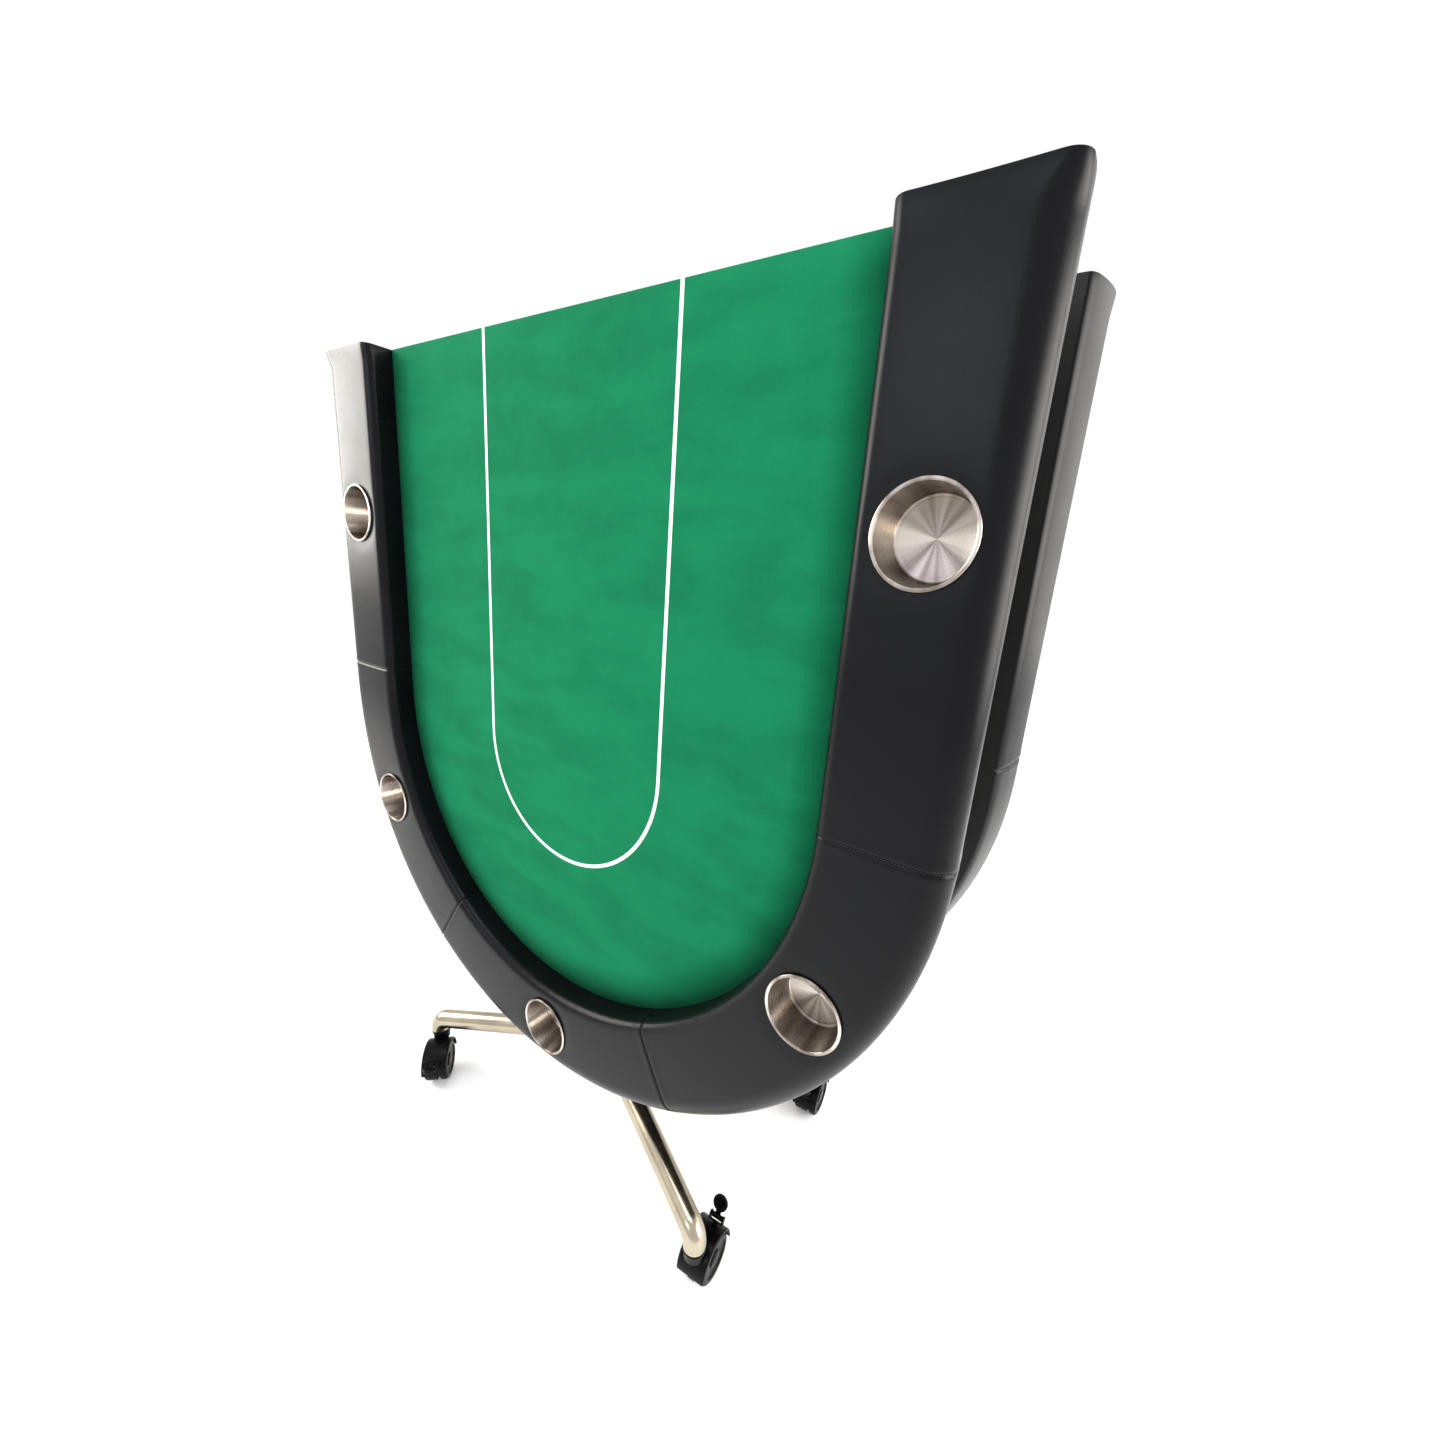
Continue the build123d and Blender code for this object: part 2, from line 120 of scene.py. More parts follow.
def makeFelt():
    # short-napped woven gaming cloth: matt, with a faint cloudy nap and soft fold creases painted
    # lighter as sheen
    made, tree, shader = startMaterial("wovenGamingCloth",
                                       {"Roughness": 1.0, "Specular IOR Level": 0.08})
    place = addNode(tree, "ShaderNodeTexCoord")
    cloud = addNode(tree, "ShaderNodeTexNoise",
                    {"Scale": 1 / feltLook["mottle"], "Detail": 6.0, "Roughness": 0.65},
                    {"Vector": (place, "Object")})
    thread = addNode(tree, "ShaderNodeTexNoise",
                     {"Scale": 1 / feltLook["fibre"], "Detail": 3.0, "Roughness": 0.7},
                     {"Vector": (place, "Object")})
    stretch = addNode(tree, "ShaderNodeMapping", {"Scale": (1.0, 1.0, 3.2), "Rotation": (0.0, 0.7, 0.0)},
                      {"Vector": (place, "Object")})
    fold = addNode(tree, "ShaderNodeTexNoise",
                   {"Scale": 1 / feltLook["crease"], "Detail": 3.0, "Distortion": 0.3},
                   {"Vector": (stretch, "Vector")})
    creaseSheenMask = addNode(tree, "ShaderNodeMapRange", {"From Min": 0.4, "From Max": 0.6},
                       {"Value": (fold, "Fac")})
    base = mixColour(tree, (cloud, "Fac"), feltLook["dark"], feltLook["light"])
    speck = addNode(tree, "ShaderNodeMapRange",
                    {"From Min": 0.35, "From Max": 0.7, "To Min": 0.82, "To Max": 1.12},
                    {"Value": (thread, "Fac")})
    shade = addNode(tree, "ShaderNodeMix", {"data_type": "RGBA", "blend_type": "MULTIPLY", 0: 1.0},
                    {6: (base, 2), 7: (speck, "Result")})
    # painted sheen: the cloth is lifted toward the paler green along the creases
    lift = addNode(tree, "ShaderNodeMix", {"data_type": "RGBA", 7: hexColour(feltLook["creaseSheen"])},
                   {6: (shade, 2)})
    creaseSheenAmount = addNode(tree, "ShaderNodeMath", {"operation": "MULTIPLY", 1: 0.3},
                         {0: (creaseSheenMask, "Result")})
    tree.links.new(creaseSheenAmount.outputs[0], lift.inputs[0])
    bump = addNode(tree, "ShaderNodeBump", {"Strength": 0.35, "Distance": 0.3 * mm},
                   {"Height": (thread, "Fac")})
    tree.links.new(lift.outputs[2], shader.inputs["Base Color"])
    tree.links.new(bump.outputs[0], shader.inputs["Normal"])
    return made


def makePrintedLine():
    # white dye printed into the same cloth: the nap still breaks it up a little
    made, tree, shader = startMaterial("printedClothLine",
                                       {"Roughness": 0.9, "Specular IOR Level": 0.15})
    place = addNode(tree, "ShaderNodeTexCoord")
    thread = addNode(tree, "ShaderNodeTexNoise", {"Scale": 1 / feltLook["fibre"], "Detail": 3.0},
                     {"Vector": (place, "Object")})
    colour = mixColour(tree, (thread, "Fac"), "#C9DACF", "#F4F8F2")
    bump = addNode(tree, "ShaderNodeBump", {"Strength": 0.3, "Distance": 0.3 * mm},
                   {"Height": (thread, "Fac")})
    tree.links.new(colour.outputs[2], shader.inputs["Base Color"])
    tree.links.new(bump.outputs[0], shader.inputs["Normal"])
    return made


vinylLook = {
    "colour": "#070709",
    "worn": "#0D0E11",
    # near-black painted into the seam grooves as shade
    "seam": "#030303",
    "grain": 1.1 * mm,
    "wear": 140 * mm,
    "roughness": (0.25, 0.36),
}


def makeVinyl():
    # expanded upholstery vinyl: embossed leather grain, satin, a little cloudier where arms rub it
    made, tree, shader = startMaterial("upholsteryVinyl", {"Specular IOR Level": 0.14, "IOR": 1.5})
    place = addNode(tree, "ShaderNodeTexCoord")
    grain = addNode(tree, "ShaderNodeTexVoronoi",
                    {"feature": "DISTANCE_TO_EDGE", "Scale": 1 / vinylLook["grain"]},
                    {"Vector": (place, "Object")})
    pebble = addNode(tree, "ShaderNodeMapRange", {"From Min": 0.0, "From Max": 0.25},
                     {"Value": (grain, "Distance")})
    pores = addNode(tree, "ShaderNodeTexNoise", {"Scale": 2.4 / vinylLook["grain"], "Detail": 2.0},
                    {"Vector": (place, "Object")})
    rub = addNode(tree, "ShaderNodeTexNoise",
                  {"Scale": 1 / vinylLook["wear"], "Detail": 5.0, "Roughness": 0.6},
                  {"Vector": (place, "Object")})
    low, high = vinylLook["roughness"]
    rough = addNode(tree, "ShaderNodeMapRange",
                    {"From Min": 0.3, "From Max": 0.7, "To Min": low, "To Max": high},
                    {"Value": (rub, "Fac")})
    colour = mixColour(tree, (rub, "Fac"), vinylLook["colour"], vinylLook["worn"])
    # painted shade: the vinyl darkens toward near-black down in each seam groove
    seam = addNode(tree, "ShaderNodeAttribute", {"attribute_name": "seamDepth"})
    tone = addNode(tree, "ShaderNodeMix", {"data_type": "RGBA", 7: hexColour(vinylLook["seam"])},
                   {0: (seam, "Fac"), 6: (colour, 2)})
    relief = addNode(tree, "ShaderNodeMath", {"operation": "MULTIPLY_ADD", 1: 0.3},
                     {0: (pores, "Fac"), 2: (pebble, "Result")})
    bump = addNode(tree, "ShaderNodeBump", {"Strength": 0.2, "Distance": 0.12 * mm},
                   {"Height": (relief, "Value")})
    tree.links.new(tone.outputs[2], shader.inputs["Base Color"])
    tree.links.new(rough.outputs[0], shader.inputs["Roughness"])
    tree.links.new(bump.outputs[0], shader.inputs["Normal"])
    return made


def makeThread():
    # bonded polyester thread
    made, tree, shader = startMaterial("bondedThread", {"Roughness": 0.55, "Sheen Weight": 0.3})
    place = addNode(tree, "ShaderNodeTexCoord")
    twist = addNode(tree, "ShaderNodeTexWave", {"Scale": 1 / (1.2 * mm), "Distortion": 1.0},
                    {"Vector": (place, "Object")})
    colour = mixColour(tree, (twist, "Fac"), "#0B0B0C", "#1D1E20")
    tree.links.new(colour.outputs[2], shader.inputs["Base Color"])
    return made


cupLook = {
    "rimTop": 48 * mm,
    "rim": 51 * mm,
    "mouth": 47 * mm,
    "floor": 43 * mm,
    "depth": 48.8 * mm,
    "wall": 1.0 * mm,
    "ledge": 6 * mm,
    "step": 0.5 * mm,
    "rimSlope": 0.4 * mm,
    "rimDepth": 1.9 * mm,
    "rounded": {3: 3.5 * mm, 4: 1.4 * mm, 5: 0.7 * mm, 8: 2 * mm},
    "steps": 96,
    # how narrow the painted fan highlight is
    "paintedFanPower": 9.0,
}


def makeSpunSteel():
    # stainless cup, spun and then brushed round its axis; the fans of light on the floor and the bars on
    # the wall are painted highlight in its colour, with faint painted rays
    made, tree, shader = startMaterial("spunStainlessSteel", {
        "Metallic": 1.0, "Anisotropic": 0.9, "Anisotropic Rotation": 0.25,
    })
    turn = addNode(tree, "ShaderNodeUVMap", {"uv_map": "brushed"})
    along = addNode(tree, "ShaderNodeMapping", {"Scale": (6.0, 900.0, 1.0)}, {"Vector": (turn, "UV")})
    lines = addNode(tree, "ShaderNodeTexNoise", {"Scale": 1.0, "Detail": 4.0, "Roughness": 0.7},
                    {"Vector": (along, "Vector")})
    fan = addNode(tree, "ShaderNodeMapping", {"Scale": (15.0, 1.2, 1.0)}, {"Vector": (turn, "UV")})
    sweep = addNode(tree, "ShaderNodeTexNoise", {"Scale": 1.0, "Detail": 1.5},
                    {"Vector": (fan, "Vector")})
    parts = addNode(tree, "ShaderNodeSeparateXYZ", links={"Vector": (turn, "UV")})
    # painted highlight: a bright bow-tie at a fixed turn, plus faint painted rays from stretched noise
    angle = addNode(tree, "ShaderNodeMath", {"operation": "MULTIPLY", 1: 2 * math.pi}, {0: (parts, "X")})
    lobe = addNode(tree, "ShaderNodeMath", {"operation": "COSINE"}, {0: (angle, "Value")})
    lobes = addNode(tree, "ShaderNodeMath", {"operation": "ABSOLUTE"}, {0: (lobe, "Value")})
    paintedBowTie = addNode(tree, "ShaderNodeMath", {"operation": "POWER", 1: cupLook["paintedFanPower"]},
                     {0: (lobes, "Value")})
    ripple = addNode(tree, "ShaderNodeMapRange", {"From Min": 0.4, "From Max": 0.62, "To Max": 0.3},
                     {"Value": (sweep, "Fac")})
    paintedFanHighlight = addNode(tree, "ShaderNodeMath", {"operation": "ADD", "use_clamp": True},
                     {0: (paintedBowTie, "Value"), 1: (ripple, "Result")})
    # dull steel brightened into the painted fan highlight
    colour = mixColour(tree, (paintedFanHighlight, "Value"), "#70665D", "#DCD3C9")
    rough = addNode(tree, "ShaderNodeMapRange",
                    {"From Min": 0.3, "From Max": 0.7, "To Min": 0.2, "To Max": 0.34},
                    {"Value": (lines, "Fac")})
    bump = addNode(tree, "ShaderNodeBump", {"Strength": 0.12, "Distance": 0.05 * mm},
                   {"Height": (lines, "Fac")})
    tangent = addNode(tree, "ShaderNodeTangent", {"direction_type": "UV_MAP", "uv_map": "brushed"})
    tree.links.new(colour.outputs[2], shader.inputs["Base Color"])
    tree.links.new(rough.outputs[0], shader.inputs["Roughness"])
    tree.links.new(bump.outputs[0], shader.inputs["Normal"])
    tree.links.new(tangent.outputs[0], shader.inputs["Tangent"])
    return made


def makeSatinTube(name, light, dark, roughness):
    # nickel-plated steel tube, polished along its length, with the warm cast that nickel has
    made, tree, shader = startMaterial(name, {"Metallic": 1.0})
    place = addNode(tree, "ShaderNodeTexCoord")
    grain = addNode(tree, "ShaderNodeTexNoise", {"Scale": 1 / (0.7 * mm), "Detail": 3.0},
                    {"Vector": (place, "Object")})
    cloud = addNode(tree, "ShaderNodeTexNoise", {"Scale": 1 / (45 * mm), "Detail": 4.0},
                    {"Vector": (place, "Object")})
    colour = mixColour(tree, (cloud, "Fac"), dark, light)
    rough = addNode(tree, "ShaderNodeMapRange",
                    {"From Min": 0.3, "From Max": 0.7, "To Min": roughness, "To Max": roughness + 0.1},
                    {"Value": (cloud, "Fac")})
    bump = addNode(tree, "ShaderNodeBump", {"Strength": 0.06, "Distance": 0.05 * mm},
                   {"Height": (grain, "Fac")})
    tree.links.new(colour.outputs[2], shader.inputs["Base Color"])
    tree.links.new(rough.outputs[0], shader.inputs["Roughness"])
    tree.links.new(bump.outputs[0], shader.inputs["Normal"])
    return made


def makeMoulded(name, colour, worn, roughness, texture):
    # moulded black nylon: a fine spark-eroded texture, dusty and paler in patches
    made, tree, shader = startMaterial(name, {"Specular IOR Level": 0.1})
    place = addNode(tree, "ShaderNodeTexCoord")
    spark = addNode(tree, "ShaderNodeTexNoise", {"Scale": 1 / texture, "Detail": 4.0, "Roughness": 0.75},
                    {"Vector": (place, "Object")})
    dust = addNode(tree, "ShaderNodeTexNoise", {"Scale": 1 / (22 * mm), "Detail": 6.0},
                   {"Vector": (place, "Object")})
    tone = mixColour(tree, (dust, "Fac"), colour, worn)
    rough = addNode(tree, "ShaderNodeMapRange",
                    {"From Min": 0.35, "From Max": 0.65, "To Min": roughness,
                     "To Max": roughness + 0.18},
                    {"Value": (dust, "Fac")})
    bump = addNode(tree, "ShaderNodeBump", {"Strength": 0.2, "Distance": 0.1 * mm},
                   {"Height": (spark, "Fac")})
    tree.links.new(tone.outputs[2], shader.inputs["Base Color"])
    tree.links.new(rough.outputs[0], shader.inputs["Roughness"])
    tree.links.new(bump.outputs[0], shader.inputs["Normal"])
    return made


plyLook = {"face": "#1E1C1B", "grain": "#0F0E0D", "ply": 1.6 * mm, "ring": 14 * mm}


def makePlywood(side):
    # birch plywood stained black: grain on its faces and plies on its edges just show through
    made, tree, shader = startMaterial("stainedPlywood_" + side,
                                       {"Roughness": 0.55, "Specular IOR Level": 0.3})
    lean = math.radians(90 - leafSizes["lean"])
    turn = (-lean, 0.0, 0.0) if side == "front" else (lean, 0.0, 0.0)
    place = addNode(tree, "ShaderNodeTexCoord")
    flat = addNode(tree, "ShaderNodeMapping", {"Rotation": turn}, {"Vector": (place, "Object")})
    plies = addNode(tree, "ShaderNodeTexWave",
                    {"bands_direction": "Z", "Scale": 0.314 / (2 * plyLook["ply"]), "Distortion": 0.6,
                     "Detail": 1.0},
                    {"Vector": (flat, "Vector")})
    stretch = addNode(tree, "ShaderNodeMapping", {"Scale": (0.12, 1.0, 0.3)},
                      {"Vector": (flat, "Vector")})
    grain = addNode(tree, "ShaderNodeTexNoise",
                    {"Scale": 1 / plyLook["ring"], "Detail": 8.0, "Roughness": 0.7, "Distortion": 0.8},
                    {"Vector": (stretch, "Vector")})
    wood = mixColour(tree, (grain, "Fac"), plyLook["face"], plyLook["grain"])
    dim = addNode(tree, "ShaderNodeMapRange", {"To Min": 0.72, "To Max": 1.05},
                  {"Value": (plies, "Fac")})
    colour = addNode(tree, "ShaderNodeMix", {"data_type": "RGBA", "blend_type": "MULTIPLY", 0: 0.6},
                     {6: (wood, 2), 7: (dim, "Result")})
    bump = addNode(tree, "ShaderNodeBump", {"Strength": 0.15, "Distance": 0.2 * mm},
                   {"Height": (grain, "Fac")})
    tree.links.new(colour.outputs[2], shader.inputs["Base Color"])
    tree.links.new(bump.outputs[0], shader.inputs["Normal"])
    return made


materials = {
    "felt": makeFelt(),
    "line": makePrintedLine(),
    "vinyl": makeVinyl(),
    "thread": makeThread(),
    "cup": makeSpunSteel(),
    "tube": makeSatinTube("nickelPlatedTube", "#C2B8A3", "#948976", 0.18),
    "zinc": makeSatinTube("zincPlatedSteel", "#C9CCD0", "#9A9DA2", 0.32),
    "darkSteel": makeMoulded("powderCoatedSteel", "#101113", "#1B1C1F", 0.42, 1.0 * mm),
    "nylon": makeMoulded("mouldedNylon", "#030303", "#090909", 0.22, 0.8 * mm),
    "tread": makeMoulded("polyurethaneTread", "#040404", "#0E0E0E", 0.35, 1.4 * mm),
    "ply_front": makePlywood("front"),
    "ply_rear": makePlywood("rear"),
}
print("stage: materials made")


def finishPiece(name, shape, place, looks, body, stands=(), sharpAngle=32):
    shape.transform(place)
    shape.normal_update()
    mesh = bpy.data.meshes.new(name)
    shape.to_mesh(mesh)
    shape.free()
    for look in looks:
        mesh.materials.append(materials[look])
    mesh.shade_smooth()
    mesh.set_sharp_from_angle(angle=math.radians(sharpAngle))
    piece = bpy.data.objects.new(name, mesh)
    bpy.context.scene.collection.objects.link(piece)
    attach(piece, body)
    if stands:
        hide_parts(*stands)
    return piece


def addOutline(shape, corners):
    verts = [shape.verts.new(corner) for corner in corners]
    return shape.faces.new(verts)


def roundCorners(shape, verts, radius, segments):
    bmesh.ops.bevel(shape, geom=verts, offset=radius, offset_type="OFFSET", segments=segments,
                    profile=0.5, affect="VERTICES", material=-1)


def closeUp(shape, distance=0.00001):
    bmesh.ops.remove_doubles(shape, verts=shape.verts, dist=distance)
    bmesh.ops.recalc_face_normals(shape, faces=shape.faces)


def lathe(corners, rounded, steps, wallClosed=False):
    # corners are (radius, height); rounded maps a corner's index to its radius
    shape = bmesh.new()
    verts = [shape.verts.new((r, 0, z)) for r, z in corners]
    pairs = list(zip(verts, verts[1:]))
    if wallClosed:
        pairs.append((verts[-1], verts[0]))
    for first, second in pairs:
        shape.edges.new((first, second))
    for index, radius in rounded.items():
        roundCorners(shape, [verts[index]], radius, 4)
    bmesh.ops.spin(shape, geom=shape.verts[:] + shape.edges[:], cent=(0, 0, 0), axis=(0, 0, 1),
                   angle=2 * math.pi, steps=steps, use_merge=True)
    closeUp(shape)
    return shape


railLook = {
    "top": 46 * mm,
    "bottom": -54 * mm,
    "skirt": 12 * mm,
    "innerRoll": 15 * mm,
    "outerRoll": 30 * mm,
    "hem": 11.4 * mm,
    "crown": 2.0 * mm,
    "sideBulge": 7 * mm,
    "sideFall": 7 * mm,
    "station": 9 * mm,
    "seamStations": (0.8, 1.8, 3.2, 5.5, 9.0, 14.0),
    "seamDepth": 1.9 * mm,
    "seamWidth": 1.5 * mm,
    "seamPuff": 0.4 * mm,
    "puffPlace": 6 * mm,
    "puffWidth": 4 * mm,
    "endRound": 3.5 * mm,
    "endRoll": 16 * mm,
    "endLength": 30 * mm,
    "endPeak": 1.5 * mm,
    "cupHole": 49.2 * mm,
    "cupDip": 1.3 * mm,
    "cupDipWidth": 9 * mm,
    "pucker": 0.35 * mm,
    "puckerFade": 14 * mm,
    "puckerWaves": (1400, 1900, 50),
    "bendRipple": 0.25 * mm,
    "bendWaves": (260, 41),
    "bendBand": 12 * mm,
    "cupRim": 51 * mm,
    "stitchStep": 3.8 * mm,
}
sideLength = leafSizes["sideLength"]
arcLength = math.pi * railMiddle
railLength = 2 * sideLength + arcLength
seamSpots = [
    sideLength + railMiddle * math.radians(0.6),
    sideLength + railMiddle * math.radians(62),
    sideLength + railMiddle * math.radians(123),
    sideLength + arcLength + 31 * mm,
]
cupAngles = (26.5, 90, 153.5)
sideCup = 275 * mm
bendCups = [sideLength + railMiddle * math.radians(a) for a in cupAngles]
cupSpots = [sideCup] + bendCups + [railLength - sideCup]


def railStation(spot):
    # turns a section drawn at x = distance from the middle into its place along the U
    if spot <= sideLength:
        return Matrix.Translation((0, -spot, 0))
    if spot >= sideLength + arcLength:
        back = Matrix.Translation((0, spot - railLength, 0))
        return back @ Matrix.Rotation(-math.pi, 4, "Z")
    turn = -(spot - sideLength) / railMiddle
    return Matrix.Translation(arcCentre) @ Matrix.Rotation(turn, 4, "Z")


def railStations():
    spots = {0.0, railLength, sideLength, sideLength + arcLength}
    count = round(railLength / railLook["station"])
    spots.update(railLength * i / count for i in range(count + 1))
    near = railLook["seamStations"][-1] * mm
    spots = {s for s in spots if all(abs(s - seam) > near for seam in seamSpots)}
    for seam in seamSpots:
        spots.add(seam)
        for step in railLook["seamStations"]:
            spots.update((seam - step * mm, seam + step * mm))
    ordered = sorted(spots)
    return [s for i, s in enumerate(ordered) if i == 0 or s - ordered[i - 1] > 0.2 * mm]


def railSection(shape):
    top, bottom, outer = railLook["top"], railLook["bottom"], leafSizes["halfWidth"]
    skirt = outer - railLook["skirt"]
    under = -leafSizes["feltThickness"]
    corners = [(railInner, under), (railInner, top), (outer, top), (outer, bottom), (skirt, bottom),
               (skirt, under)]
    face = addOutline(shape, [(r, 0, z) for r, z in corners])
    verts = face.verts[:]
    shape.faces.remove(face)
    roundCorners(shape, [verts[1]], railLook["innerRoll"], 9)
    roundCorners(shape, [v for v in shape.verts if v.co.x > outer - mm and v.co.z > top - mm],
                 railLook["outerRoll"], 10)
    roundCorners(shape, [v for v in shape.verts if v.co.x > outer - mm and v.co.z < bottom + mm],
                 railLook["hem"], 5)
    for edge in [e for e in shape.edges if e.calc_length() > 12 * mm]:
        cuts = int(edge.calc_length() / (7 * mm))
        bmesh.ops.subdivide_edges(shape, edges=[edge], cuts=cuts)


def fillOut(local, spot):
    # the stuffed shape: a crowned top, a side that bellies out, and rolls that tighten at both ends
    x, z = local.x, local.z
    top, outer, under = railLook["top"], leafSizes["halfWidth"], -leafSizes["feltThickness"]
    near = max(0.0, 1 - min(spot, railLength - spot) / railLook["endLength"])
    near = near * near * (3 - 2 * near)
    if z > under:
        old = railLook["innerRoll"] if x < railMiddle else railLook["outerRoll"]
        new = old + (min(old, railLook["endRoll"]) - old) * near
        sideways = outer - x if x > railMiddle else x - railInner
        half = leafSizes["railWidth"] / 2
        if sideways < old:
            moved = sideways * new / old
        else:
            moved = new + (sideways - old) * (half - new) / (half - old)
        if z > top - old:
            z = top - (top - z) * new / old
        elif z > 0:
            z *= (top - new) / (top - old)
        x = outer - moved if x > railMiddle else railInner + moved
        across = (x - railMiddle) / half
        lift = railLook["endPeak"] * near - railLook["crown"] * (1 - near)
        z += lift * across * across * z / top
    skirt, shoulder = railLook["skirt"], top - railLook["outerRoll"]
    if x > railMiddle and z >= shoulder:
        x += railLook["sideBulge"] * ((x - railMiddle) / (outer - railMiddle)) ** 2
    elif x > outer - skirt:
        down = (shoulder - z) / (shoulder - railLook["bottom"])
        down = 0.45 * down + 0.55 * down * down
        shift = railLook["sideBulge"] * (1 - down) - railLook["sideFall"] * down
        x = outer - skirt + (x - outer + skirt) * (1 + shift / skirt)
    return Vector((x, local.y, z))


def railDetail(local, spot, normal):
    # how far the cover is pushed along its normal, and how deep in a seam it lies, which the vinyl uses
    # as painted shade
    dent, shade = 0.0, 0.0
    acrossWave, upWave, phase = railLook["puckerWaves"]
    for seam in seamSpots:
        away = abs(spot - seam)
        groove = math.exp(-(away / railLook["seamWidth"]) ** 2)
        puff = math.exp(-((away - railLook["puffPlace"]) / railLook["puffWidth"]) ** 2)
        ripple = math.sin(local.x * acrossWave + local.z * upWave + seam * phase)
        ripple *= math.exp(-away / railLook["puckerFade"])
        dent += (-railLook["seamDepth"] * groove + railLook["seamPuff"] * puff
                 + railLook["pucker"] * ripple)
        shade = max(shade, groove)
    for cup in cupSpots:
        along = (spot - cup) * local.x / railMiddle
        reach = math.hypot(local.x - railMiddle, along) - railLook["cupRim"]
        if normal.z > 0.5:
            dip = math.exp(-(max(reach, 0) / railLook["cupDipWidth"]) ** 2)
            dent -= railLook["cupDip"] * dip
    if sideLength < spot < sideLength + arcLength and local.x < railInner + railLook["bendBand"]:
        slow, slower = railLook["bendWaves"]
        dent += railLook["bendRipple"] * math.sin(spot * slow) * math.sin(spot * slower)
    return dent, shade


def makeRail(side):
    shape = bmesh.new()
    # per-vertex seam groove profile, read by the vinyl as painted shade
    layer = shape.verts.layers.float.new("seamDepth")
    railSection(shape)
    spots = railStations()
    ring, edges = shape.verts[:], shape.edges[:]
    rings = [ring]
    for before, after in zip(spots, spots[1:]):
        made = bmesh.ops.extrude_edge_only(shape, edges=edges)["geom"]
        ring = [g for g in made if isinstance(g, bmesh.types.BMVert)]
        edges = [g for g in made
                 if isinstance(g, bmesh.types.BMEdge) and all(v in ring for v in g.verts)]
        step = railStation(after) @ railStation(before).inverted()
        bmesh.ops.transform(shape, matrix=step, verts=ring)
        rings.append(ring)
    for spot, ring in zip(spots, rings):
        station = railStation(spot)
        back = station.inverted()
        for vert in ring:
            vert.co = station @ fillOut(back @ vert.co, spot)
    bmesh.ops.recalc_face_normals(shape, faces=shape.faces)
    shape.normal_update()
    moves = []
    for spot, ring in zip(spots, rings):
        toSection = railStation(spot).inverted()
        turn = toSection.to_3x3()
        for vert in ring:
            local = toSection @ vert.co
            normal = turn @ vert.normal
            if local.x > leafSizes["halfWidth"] - railLook["skirt"] + 1 * mm or local.z > 0:
                dent, shade = railDetail(local, spot, normal)
                moves.append((vert, vert.normal * dent))
                vert[layer] = shade
    outwards = 1 if topNormalPointsUp(shape) else -1
    for vert, move in moves:
        vert.co += move * outwards
    for ring in (rings[0], rings[-1]):
        loop = [e for e in shape.edges if e.is_boundary and all(v in ring for v in e.verts)]
        bmesh.ops.contextual_create(shape, geom=loop)
        bmesh.ops.bevel(shape, geom=loop, offset=railLook["endRound"], segments=4, profile=0.5,
                        affect="EDGES", material=-1, clamp_overlap=True)
    bmesh.ops.recalc_face_normals(shape, faces=shape.faces)
    rail = finishPiece(side + "_padded_rail", shape, leafPlaces[side], ["vinyl"], side + "_leaf",
                       [side + "_rail_pad"], 40)
    for spot in cupSpots:
        cutRound(rail,
                 leafPlaces[side] @ railStation(spot) @ Matrix.Translation((railMiddle, 0, 22 * mm)))
    return rail


def topNormalPointsUp(shape):
    crown = max(shape.faces, key=lambda f: f.calc_center_median().z)
    return crown.normal.z > 0


def cutRound(piece, place):
    cutter = bmesh.new()
    bmesh.ops.create_cone(cutter, cap_ends=True, segments=96, radius1=railLook["cupHole"],
                          radius2=railLook["cupHole"], depth=70 * mm, matrix=place)
    mesh = bpy.data.meshes.new("cutter")
    cutter.to_mesh(mesh)
    cutter.free()
    drill = bpy.data.objects.new("cutter", mesh)
    bpy.context.scene.collection.objects.link(drill)
    hole = piece.modifiers.new("hole", "BOOLEAN")
    hole.object = drill
    hole.operation = "DIFFERENCE"
    hole.solver = "EXACT"
    bpy.context.view_layer.update()
    graph = bpy.context.evaluated_depsgraph_get()
    done = bpy.data.meshes.new_from_object(piece.evaluated_get(graph), preserve_all_data_layers=True,
                                           depsgraph=graph)
    piece.modifiers.clear()
    piece.data = done
    bpy.data.objects.remove(drill)


def sectionPath(spot):
    # the cover's outline from the felt up, over and down to the hem, as points a stitch length apart
    section = bmesh.new()
    railSection(section)
    here = min(section.verts,
               key=lambda v: (v.co - Vector((railInner, 0, -leafSizes["feltThickness"]))).length)
    onward = max(here.link_edges, key=lambda e: e.other_vert(here).co.z)
    points = []
    while here.co.z > railLook["bottom"] + railLook["hem"] or here.co.x < railMiddle:
        points.append(fillOut(here.co, spot))
        here = onward.other_vert(here)
        onward = next(e for e in here.link_edges if e != onward)
    section.free()
    stitches, left = [], 7 * mm
    for first, second in zip(points, points[1:]):
        run = second - first
        while left < run.length:
            stitches.append((first + run.normalized() * left, run.normalized()))
            left += railLook["stitchStep"]
        left -= run.length
    return stitches


